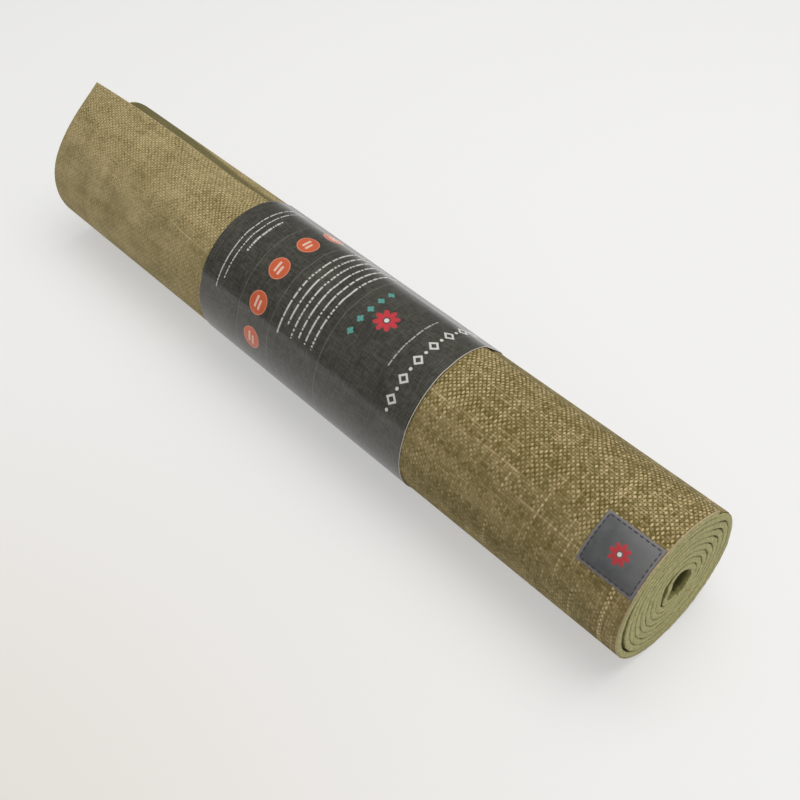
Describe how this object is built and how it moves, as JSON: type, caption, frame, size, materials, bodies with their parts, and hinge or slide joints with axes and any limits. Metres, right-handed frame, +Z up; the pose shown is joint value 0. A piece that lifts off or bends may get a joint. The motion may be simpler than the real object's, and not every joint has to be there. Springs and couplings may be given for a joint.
{
  "type": "yoga mat",
  "caption": "Rolled yoga mat with a woven facing on a foam base and a sewn corner patch, held by a printed card sleeve that slides off along the roll.",
  "frame": {"origin": "on the floor below the middle of the roll, at the middle of the box's base", "axes": "+X along the roll towards the end with the sewn patch, +Y to the back, away from the patch's side, +Z up"},
  "size_m": [0.6096, 0.112, 0.1312],
  "materials": {
    "foam": "matte closed-cell foam",
    "jute": "coarse plain weave",
    "label": "smooth matte",
    "thread": "twisted thread",
    "card": "printed and gloss varnished",
    "glue": "dried glue film"
  },
  "bodies": {
    "roll": {"foam_base": "foam", "jute_facing": "jute", "corner_label": "label", "label_stitching": "thread"},
    "sleeve": {"card_sleeve": "card", "sleeve_glue_strip": "glue"}
  },
  "joints": [
    {"name": "sleeve_slide", "type": "slide", "parent": "roll", "child": "sleeve", "axis": [1, 0, 0], "range_m": [-0.025, 0.42]}
  ]
}
